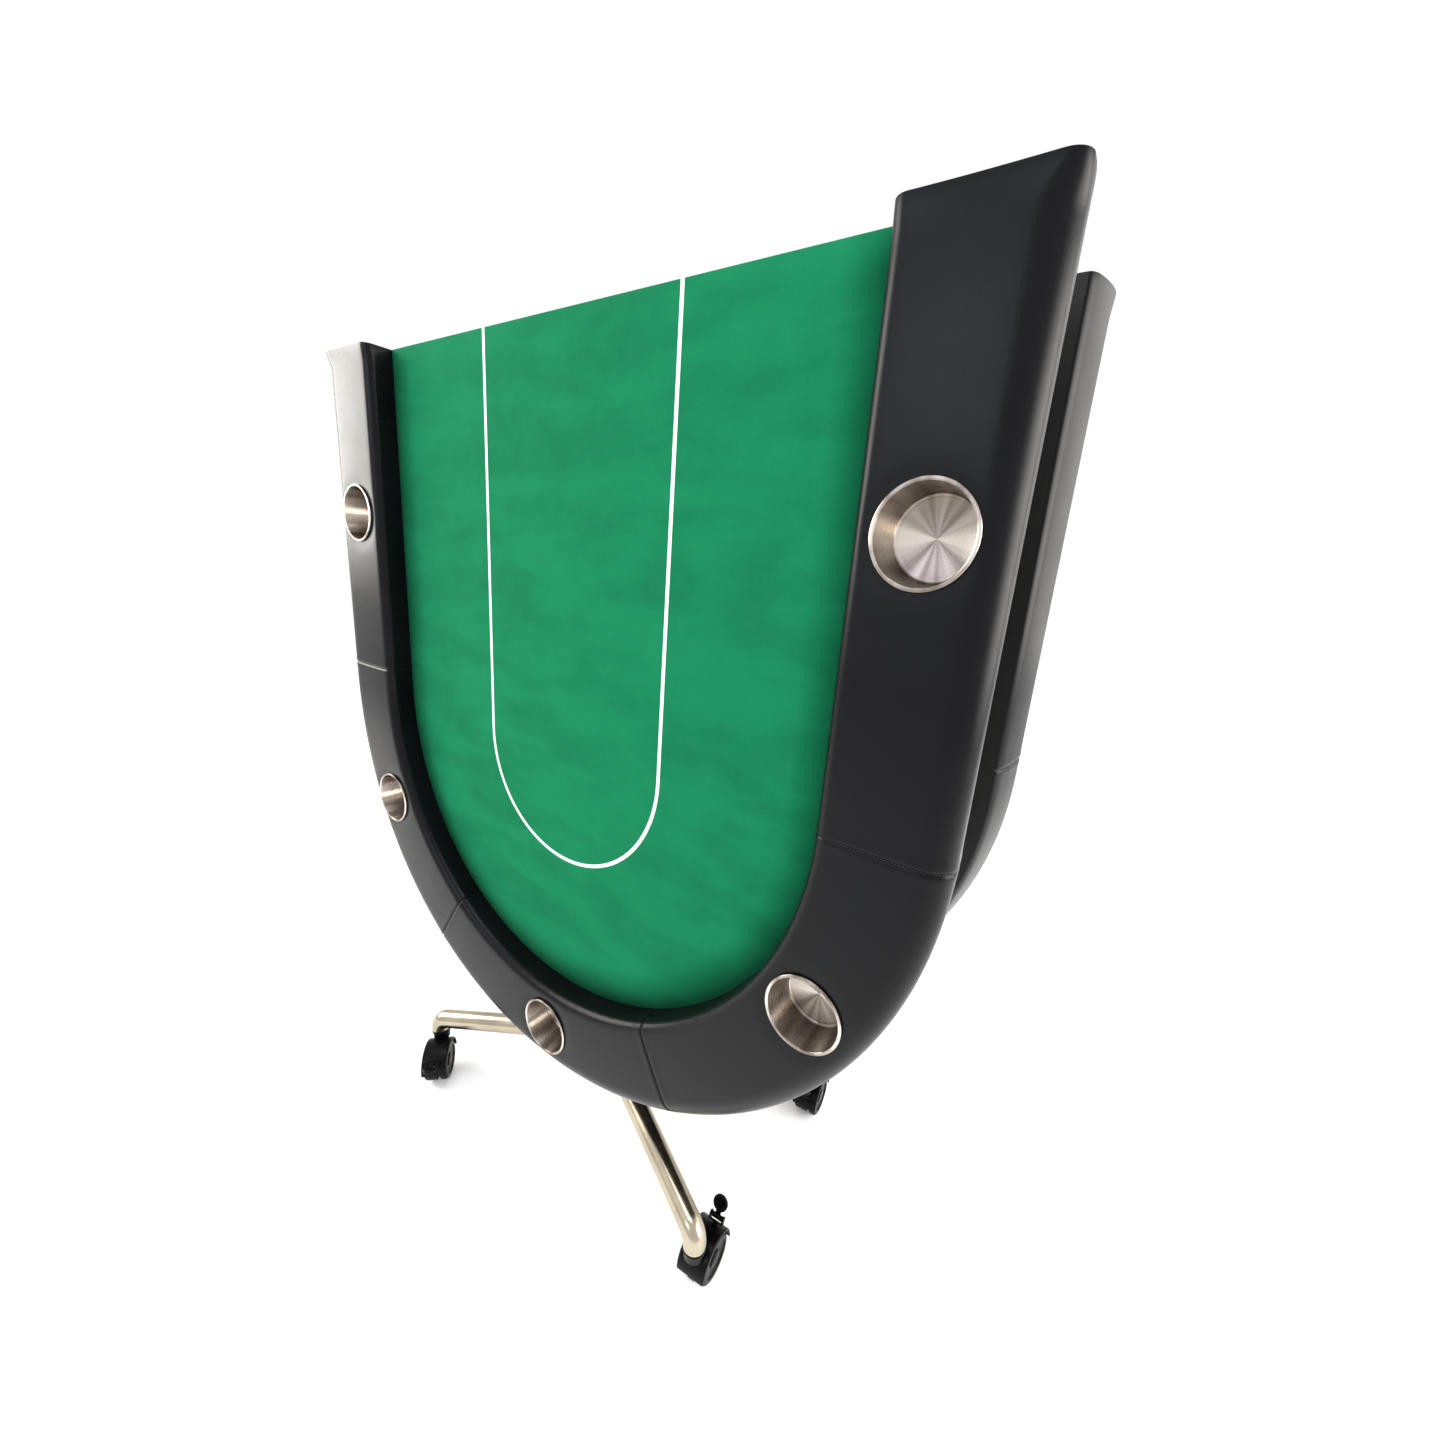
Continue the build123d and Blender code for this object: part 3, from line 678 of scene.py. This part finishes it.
def makeStitches(side):
    # small lock stitches lying in the valley of each seam
    shape = bmesh.new()
    for seam in seamSpots:
        for place, heading in sectionPath(seam):
            sink = Vector((heading.z, 0, -heading.x)) * railLook["seamDepth"] * 0.8
            tilt = math.atan2(heading.z, heading.x)
            spot = railStation(seam) @ Matrix.Translation(place + sink) @ Matrix.Rotation(-tilt, 4, "Y")
            stretch = Matrix.Diagonal((1.35 * mm, 0.55 * mm, 0.45 * mm, 1))
            bmesh.ops.create_icosphere(shape, subdivisions=1, radius=1, matrix=spot @ stretch)
    return finishPiece(side + "_rail_stitches", shape, leafPlaces[side], ["thread"], side + "_leaf",
                       (), 60)


feltCut = {
    "gap": 0.5 * mm,
    "lineOuter": 195 * mm,
    "lineInner": 189 * mm,
    "lineDrop": 29 * mm,
    "thickness": 1.6 * mm,
    "wrap": 17 * mm,
    "steps": 64,
    "rows": 24,
}


def makeFeltTop(side):
    edge = railInner - feltCut["gap"]
    outer, inner = feltCut["lineOuter"], feltCut["lineInner"]
    radii = [edge, edge - 60 * mm, edge - 130 * mm, outer + 45 * mm, outer, inner, inner - 60 * mm,
             60 * mm, 0.0]
    shape = bmesh.new()
    verts = [shape.verts.new((r, -sideLength, 0)) for r in radii]
    edges = [shape.edges.new(pair) for pair in zip(verts, verts[1:])]
    upTo = bmesh.ops.extrude_edge_only(shape, edges=edges)["geom"]
    top = [g for g in upTo if isinstance(g, bmesh.types.BMVert)]
    bmesh.ops.translate(shape, verts=top, vec=(0, sideLength, 0))
    long = [e for e in shape.edges if abs(e.verts[0].co.y - e.verts[1].co.y) > 0.1]
    bmesh.ops.subdivide_edges(shape, edges=long, cuts=feltCut["rows"], use_grid_fill=True)
    bmesh.ops.mirror(shape, geom=shape.verts[:] + shape.edges[:] + shape.faces[:], axis="X",
                     merge_dist=-1)
    bottom = [e for e in shape.edges if all(abs(v.co.y + sideLength) < mm for v in e.verts)]
    start = [e for e in bottom if all(v.co.x > -mm for v in e.verts)]
    ends = list({v for e in start for v in e.verts})
    bmesh.ops.spin(shape, geom=ends + start, cent=arcCentre, axis=(0, 0, 1), angle=-math.pi,
                   steps=feltCut["steps"])
    bmesh.ops.remove_doubles(shape, verts=shape.verts, dist=0.02 * mm)
    for vert in shape.verts:
        reach = math.hypot(vert.co.x, max(0.0, -vert.co.y - sideLength))
        if reach < outer + mm:
            if vert.co.y < -sideLength:
                vert.co.y -= feltCut["lineDrop"]
            else:
                vert.co.y *= (sideLength + feltCut["lineDrop"]) / sideLength
    for face in shape.faces:
        if face.normal.z < 0:
            face.normal_flip()
        middle = face.calc_center_median()
        reach = math.hypot(middle.x, max(0.0, -middle.y - sideLength - feltCut["lineDrop"]))
        face.material_index = 1 if inner < reach < outer else 0
    topEdges = [e for e in shape.edges if e.is_boundary and all(abs(v.co.y) < mm for v in e.verts)]
    for across, down in ((0.4, -0.5), (0.2, -0.9), (0.0, -feltCut["wrap"] / mm)):
        made = bmesh.ops.extrude_edge_only(shape, edges=topEdges)["geom"]
        row = [g for g in made if isinstance(g, bmesh.types.BMVert)]
        topEdges = [g for g in made
                    if isinstance(g, bmesh.types.BMEdge) and all(v in row for v in g.verts)]
        bmesh.ops.translate(shape, verts=row, vec=(0, across * mm, down * mm))
    felt = finishPiece(side + "_playing_cloth", shape, leafPlaces[side], ["felt", "line"],
                       side + "_leaf",
                       [side + "_felt"], 60)
    wall = felt.modifiers.new("thickness", "SOLIDIFY")
    wall.thickness = feltCut["thickness"]
    wall.offset = -1
    return felt


def makeCup(side, number, spot):
    top, wall = cupLook["rimTop"], cupLook["wall"]
    floorTop = top - cupLook["depth"]
    ledge, step, under = cupLook["ledge"], cupLook["step"], top - cupLook["rimDepth"]
    corners = [
        (0, floorTop),
        (cupLook["floor"] - ledge, floorTop),
        (cupLook["floor"] - ledge + 1 * mm, floorTop + step),
        (cupLook["floor"], floorTop + step),
        (cupLook["mouth"], top),
        (cupLook["rim"], top - cupLook["rimSlope"]),
        (cupLook["rim"], under),
        (cupLook["mouth"] + wall, under),
        (cupLook["floor"] + wall, floorTop - wall),
        (0, floorTop - wall),
    ]
    shape = lathe(corners, cupLook["rounded"], cupLook["steps"])
    turned = shape.loops.layers.uv.new("brushed")
    station = railStation(spot)
    ahead = station.to_euler().z
    for face in shape.faces:
        middle = face.calc_center_median()
        base = math.atan2(middle.y, middle.x)
        for loop in face.loops:
            spotOn = loop.vert.co
            radius = math.hypot(spotOn.x, spotOn.y)
            angle = base if radius < 0.1 * mm else math.atan2(spotOn.y, spotOn.x)
            angle = base + math.remainder(angle - base, 2 * math.pi)
            # the rail's turn is added so the painted fan highlight faces the same way in every cup
            loop[turned].uv = ((angle + ahead) / (2 * math.pi), radius * 4 + spotOn.z * 4)
    place = leafPlaces[side] @ station @ Matrix.Translation((railMiddle, 0, 0))
    return finishPiece(f"{side}_steel_cup_{number}", shape, place, ["cup"], side + "_leaf",
                       [f"{side}_cup_holder_{number}"], 50)


for side in ("front", "rear"):
    makeRail(side)
    makeStitches(side)
    makeFeltTop(side)
    for number, spot in enumerate(reversed(cupSpots), 1):
        makeCup(side, number, spot)
    print("stage:", side, "leaf upholstered")


castorLook = {
    "wheelRadius": 37.5 * mm,
    "wheelWidth": 16 * mm,
    "wheelInner": 7 * mm,
    "hoodInner": 39.5 * mm,
    "hoodOuter": 43 * mm,
    "hoodHalf": 24.7 * mm,
    "hoodSweep": 178,
    "collar": 18.3 * mm,
    "collarTop": 93 * mm,
    "webHalf": 5.5 * mm,
    "trail": 31 * mm,
    "paddle": 13 * mm,
    "arm": 22 * mm,
}


footLook = {
    "start": (0, -70 * mm, 181 * mm),
    "corner": (346 * mm, -215 * mm, 119 * mm),
    "startRadius": 20 * mm,
    "endRadius": 18.3 * mm,
    "bend": 21 * mm,
    "bottom": 95 * mm,
    "inHub": 34 * mm,
    "sides": 48,
}


def footStations():
    # centre, heading and radius from inside the hub, round the elbow and down to the castor
    look = footLook
    start, corner = Vector(look["start"]), Vector(look["corner"])
    heading, down = (corner - start).normalized(), Vector((0, 0, -1))
    turn = heading.angle(down)
    setback = look["bend"] * math.tan(turn / 2)
    elbowStart = corner - heading * setback
    axis = heading.cross(down).normalized()
    centre = elbowStart + axis.cross(heading) * look["bend"]
    first = start + heading * look["inHub"]
    stations = []
    for part in (0, 0.5, 1):
        radius = look["startRadius"] + (look["endRadius"] - look["startRadius"]) * part
        stations.append((first.lerp(elbowStart, part), heading, radius))
    for step in range(1, 13):
        bent = Matrix.Rotation(turn * step / 12, 3, axis)
        stations.append((centre + bent @ (elbowStart - centre), bent @ heading, look["endRadius"]))
    foot = stations[-1][0].copy()
    foot.z = look["bottom"]
    stations.append((foot, down, look["endRadius"]))
    return stations, axis


def makeFoot(side, hand):
    shape = bmesh.new()
    stations, axis = footStations()
    frames = []
    for spot, heading, radius in stations:
        place = Matrix((axis, heading.cross(axis), heading)).transposed().to_4x4()
        place.translation = spot
        frames.append(place @ Matrix.Diagonal((radius, radius, radius, 1)))
    bmesh.ops.create_circle(shape, cap_ends=False, segments=footLook["sides"], radius=1,
                            matrix=frames[0])
    edges = shape.edges[:]
    ends = [edges]
    for before, after in zip(frames, frames[1:]):
        made = bmesh.ops.extrude_edge_only(shape, edges=edges)["geom"]
        ring = [g for g in made if isinstance(g, bmesh.types.BMVert)]
        edges = [g for g in made
                 if isinstance(g, bmesh.types.BMEdge) and all(v in ring for v in g.verts)]
        bmesh.ops.transform(shape, matrix=after @ before.inverted(), verts=ring)
    ends.append(edges)
    for loop in ends:
        bmesh.ops.contextual_create(shape, geom=loop)
    bmesh.ops.bevel(shape, geom=ends[1], offset=1.2 * mm, segments=3, profile=0.5, affect="EDGES",
                    material=-1)
    if hand == "left":
        bmesh.ops.scale(shape, verts=shape.verts, vec=(-1, 1, 1))
    place = Matrix.Rotation(math.pi if side == "rear" else 0, 4, "Z")
    bmesh.ops.recalc_face_normals(shape, faces=shape.faces)
    finishPiece(f"{side}_{hand}_foot_tube", shape, place, ["tube"], side + "_base",
                [f"{side}_foot_{hand}"], 35)


for side in ("front", "rear"):
    for hand in ("left", "right"):
        makeFoot(side, hand)
print("stage: feet made")


def jointNamed(name):
    return next(j for j in frame["joints"] if j["name"] == name)


def castorPlace(corner):
    swivel, roll = jointNamed(corner + "_swivel"), jointNamed(corner + "_roll")
    across = Vector(roll["axis"]).normalized()
    spot = Vector(swivel["pos_m"])
    ahead = Vector((0, 0, 1)).cross(across)
    place = Matrix((across, ahead, Vector((0, 0, 1)))).transposed().to_4x4()
    place.translation = (spot.x, spot.y, 0)
    return place


onAxle = Matrix.Translation((0, -castorLook["trail"],
                             castorLook["wheelRadius"])) @ Matrix.Rotation(math.pi / 2, 4, "Y")


def makeWheels(corner, place):
    shape = bmesh.new()
    radius, width, inner = castorLook["wheelRadius"], castorLook["wheelWidth"], castorLook["wheelInner"]
    outer = inner + width
    corners = [
        (4 * mm, inner),
        (radius - 6 * mm, inner),
        (radius, inner + 3 * mm),
        (radius, inner + width - 3 * mm),
        (radius - 4 * mm, outer),
        (radius - 9 * mm, outer),
        (radius - 10 * mm, inner + width - 2 * mm),
        (13 * mm, inner + width - 3.5 * mm),
        (12 * mm, inner + width - 1 * mm),
        (6 * mm, outer),
        (0, outer),
    ]
    for flip in (1, -1):
        half = lathe(corners, {2: 2.5 * mm, 3: 2.5 * mm, 4: 1 * mm, 6: 0.8 * mm, 8: 0.8 * mm}, 56)
        for face in half.faces:
            reach = math.hypot(*face.calc_center_median().xy)
            face.material_index = 1 if reach > radius - 5 * mm else 0
        if flip < 0:
            bmesh.ops.rotate(half, verts=half.verts, cent=(0, 0, 0),
                             matrix=Matrix.Rotation(math.pi, 3, "X"))
        mesh = bpy.data.meshes.new("half")
        half.to_mesh(mesh)
        half.free()
        shape.from_mesh(mesh)
        bpy.data.meshes.remove(mesh)
    bmesh.ops.create_cone(shape, cap_ends=False, segments=32, radius1=4 * mm, radius2=4 * mm,
                          depth=2 * inner)
    finishPiece(f"castor_{corner}_twin_wheels", shape, place @ onAxle, ["nylon", "tread"],
                corner + "_wheels",
                [f"castor_{corner}_wheels"], 35)


def makeHood(corner, place):
    look = castorLook
    shape = bmesh.new()
    half, low, high = look["hoodHalf"], look["hoodInner"], look["hoodOuter"]
    section = addOutline(shape, [(0, low, -half), (0, high, -half), (0, high, half), (0, low, half)])
    roundCorners(shape, [v for v in section.verts if v.co.y > low + mm], 2.4 * mm, 4)
    section = shape.faces[:]
    sweep = math.radians(look["hoodSweep"])
    bmesh.ops.rotate(shape, verts=shape.verts, cent=(0, 0, 0),
                     matrix=Matrix.Rotation(-sweep / 2 + math.pi / 2, 3, "Z"))
    bmesh.ops.spin(shape, geom=shape.verts[:] + shape.edges[:] + shape.faces[:], cent=(0, 0, 0),
                   axis=(0, 0, 1),
                   angle=sweep, steps=40)
    closeUp(shape)
    thin = look["webHalf"]
    corners = [
        (4.1 * mm, -thin),
        (low - 4 * mm, -thin),
        (low + 0.5 * mm, -thin),
        (low + 0.5 * mm, thin),
        (low - 4 * mm, thin),
        (4.1 * mm, thin),
    ]
    web = lathe(corners, {}, 56, True)
    bmesh.ops.bisect_plane(web, geom=web.verts[:] + web.edges[:] + web.faces[:],
                           plane_co=(14 * mm, 0, 0),
                           plane_no=(1, 0, 0), clear_outer=True)
    bmesh.ops.holes_fill(web, edges=[e for e in web.edges if e.is_boundary])
    closeUp(web)
    joinInto(shape, web)
    shape.transform(onAxle)
    top = look["collarTop"]
    collar = lathe([(0, 74 * mm), (look["collar"] - 2 * mm, 74 * mm),
                    (look["collar"] - 2 * mm, top - 5 * mm),
                    (look["collar"], top - 4 * mm), (look["collar"], top), (0, top)],
                   {2: 1 * mm, 3: 0.6 * mm, 4: 1.2 * mm}, 48)
    joinInto(shape, collar)
    pivot = place.inverted() @ Vector(jointNamed(corner + "_brake")["pos_m"])
    for flip in (-1, 1):
        ear = bmesh.new()
        bmesh.ops.create_cone(ear, cap_ends=True, segments=28, radius1=5 * mm, radius2=5 * mm,
                              depth=3 * mm,
                              matrix=Matrix.Rotation(math.pi / 2, 4, "Y"))
        foot = [v for v in ear.verts if v.co.z < 0]
        bmesh.ops.translate(ear, verts=foot, vec=(0, 3.5 * mm, -3.5 * mm))
        bmesh.ops.translate(ear, verts=ear.verts, vec=pivot + Vector((flip * 11.5 * mm, 0, 0)))
        joinInto(shape, ear)
    bmesh.ops.create_cone(shape, cap_ends=True, segments=20, radius1=2 * mm, radius2=2 * mm,
                          depth=25 * mm,
                          matrix=Matrix.Translation(pivot) @ Matrix.Rotation(math.pi / 2, 4, "Y"))
    finishPiece(f"castor_{corner}_hood", shape, place, ["nylon"], corner + "_castor",
                [f"castor_{corner}_housing"], 35)


def joinInto(shape, extra):
    mesh = bpy.data.meshes.new("extra")
    extra.to_mesh(mesh)
    extra.free()
    shape.from_mesh(mesh)
    bpy.data.meshes.remove(mesh)


def makePedal(corner, place):
    look = castorLook
    boxLow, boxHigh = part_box(f"castor_{corner}_pedal")
    pivot = place.inverted() @ Vector(jointNamed(corner + "_brake")["pos_m"])
    middle = place.inverted() @ ((boxLow + boxHigh) / 2)
    raised = math.atan2(middle.z - pivot.z, -(middle.y - pivot.y))
    shape = lathe([(0, -2.5 * mm), (look["paddle"], -2.5 * mm), (look["paddle"], 2.5 * mm),
                   (look["paddle"] - 3 * mm, 2.5 * mm),
                   (look["paddle"] - 4 * mm, 1.7 * mm), (0, 1.7 * mm)],
                  {1: 1.8 * mm, 2: 1.2 * mm, 4: 0.5 * mm}, 44)
    bmesh.ops.translate(shape, verts=shape.verts, vec=(0, -look["arm"], 0))
    arm = bmesh.new()
    bmesh.ops.create_cube(arm, size=1,
            matrix=Matrix.Translation((0, -6 * mm, 0)) @ Matrix.Diagonal((9 * mm, 11 * mm, 4 * mm, 1)))
    bmesh.ops.bevel(arm, geom=arm.edges[:], offset=1 * mm, segments=3, profile=0.5, affect="EDGES",
                    material=-1)
    joinInto(shape, arm)
    boss = bmesh.new()
    bmesh.ops.create_cone(boss, cap_ends=True, segments=32, radius1=4 * mm, radius2=4 * mm,
                          depth=19 * mm,
                          matrix=Matrix.Rotation(math.pi / 2, 4, "Y"))
    rimEdges = [e for e in boss.edges if abs(e.verts[0].co.x - e.verts[1].co.x) < mm / 10]
    bmesh.ops.bevel(boss, geom=rimEdges, offset=0.7 * mm, segments=2, profile=0.5, affect="EDGES",
                    material=-1)
    joinInto(shape, boss)
    for index in range(-2, 3):
        rib = bmesh.new()
        wide = 2 * math.sqrt(8.5 ** 2 - (index * 3.0) ** 2) * mm
        bmesh.ops.create_cube(rib, size=1,
                              matrix=Matrix.Translation((0, -look["arm"] + index * 3 * mm, 1.8 * mm))
                              @ Matrix.Diagonal((wide, 1.1 * mm, 1.2 * mm, 1)))
        bmesh.ops.bevel(rib, geom=rib.edges[:], offset=0.35 * mm, segments=2, profile=0.5,
                        affect="EDGES", material=-1)
        joinInto(shape, rib)
    turn = Matrix.Translation(pivot) @ Matrix.Rotation(-raised, 4, "X")
    finishPiece(f"castor_{corner}_paddle", shape, place @ turn, ["nylon"], corner + "_pedal",
                [f"castor_{corner}_pedal"], 35)


for corner in ("front_left", "front_right", "rear_left", "rear_right"):
    place = castorPlace(corner)
    makeWheels(corner, place)
    makeHood(corner, place)
    makePedal(corner, place)
print("stage: castors made")


keptLooks = {
    "board": "ply", "rail_base": "ply", "edge_batten": "ply",
    "pivot_brackets": "darkSteel", "spine_brackets": "darkSteel", "lock_quadrant": "darkSteel",
    "pivot_shaft": "zinc", "screws": "zinc", "spine_pins": "zinc", "stem": "zinc",
    "hub": "tube", "column": "tube", "head_tube": "tube",
    "clamp_knob": "nylon",
}
for name, node in frame["nodes"].items():
    for ending, look in keptLooks.items():
        if name.endswith(ending):
            if look == "ply":
                look = "ply_" + name.split("_")[0]
            node.data.materials.clear()
            node.data.materials.append(materials[look])
print("stage: frame finishes set")


stageLook = {"floor": "#FFFFFF", "size": 14.0, "sky": "#FFFFFF", "skyStrength": 1.0}


def makeStage():
    paint = {"Base Color": hexColour(stageLook["floor"]), "Roughness": 0.9}
    made = startMaterial("paintedStudioFloor", paint)[0]
    shape = bmesh.new()
    bmesh.ops.create_grid(shape, x_segments=1, y_segments=1, size=stageLook["size"])
    mesh = bpy.data.meshes.new("studio_floor")
    shape.to_mesh(mesh)
    shape.free()
    mesh.materials.append(made)
    floor = bpy.data.objects.new("studio_floor", mesh)
    bpy.context.scene.collection.objects.link(floor)
    world = bpy.data.worlds.new("studio")
    bpy.context.scene.world = world
    world.use_nodes = True
    back = world.node_tree.nodes["Background"]
    back.inputs["Color"].default_value = hexColour(stageLook["sky"])
    back.inputs["Strength"].default_value = stageLook["skyStrength"]


# name: place, point it faces, width, height, watts, colour
lightLook = {
    "ceiling": ((0.2, -0.6, 3.2), (0.0, 0.0, 0.6), 1.8, 1.0, 22, "#F6FAFF"),
    "window": ((-3.1, -1.4, 2.05), (-0.3, -0.15, 1.2), 2.0, 2.1, 150, "#FFFBF4"),
    "front": ((-0.2, -2.7, 2.15), (0.4, -0.1, 1.2), 1.4, 0.9, 16, "#DFE8FF"),
    "back": ((1.9, 2.3, 1.5), (0.5, 0.0, 0.9), 1.2, 1.9, 10, "#FFFAF2"),
    "rim": ((2.7, 0.6, 1.35), (0.6, -0.1, 0.95), 1.8, 1.6, 85, "#FFFCF8"),
}


def makeLights():
    for name, (spot, aim, width, height, power, colour) in lightLook.items():
        lamp = bpy.data.lights.new(name, "AREA")
        lamp.shape = "RECTANGLE"
        lamp.size, lamp.size_y = width, height
        lamp.energy = power
        lamp.color = hexColour(colour)[:3]
        made = bpy.data.objects.new(name, lamp)
        made.location = spot
        made.rotation_euler = (Vector(aim) - Vector(spot)).to_track_quat("-Z", "Y").to_euler()
        bpy.context.scene.collection.objects.link(made)


cameraLook = {"place": (0.7053, -0.7409, 1.1335), "turn": (72.806, -2.841, 35.104), "lens": 14.811,
              "sensor": 36.0}


def makeCamera():
    lens = bpy.data.cameras.new("camera")
    lens.lens = cameraLook["lens"]
    lens.sensor_width = cameraLook["sensor"]
    lens.clip_start = 0.01
    made = bpy.data.objects.new("camera", lens)
    made.location = cameraLook["place"]
    made.rotation_euler = [math.radians(a) for a in cameraLook["turn"]]
    bpy.context.scene.collection.objects.link(made)
    bpy.context.scene.camera = made


makeStage()
makeLights()
makeCamera()
bpy.context.scene.view_settings.view_transform = "Standard"
print("stage: studio ready")
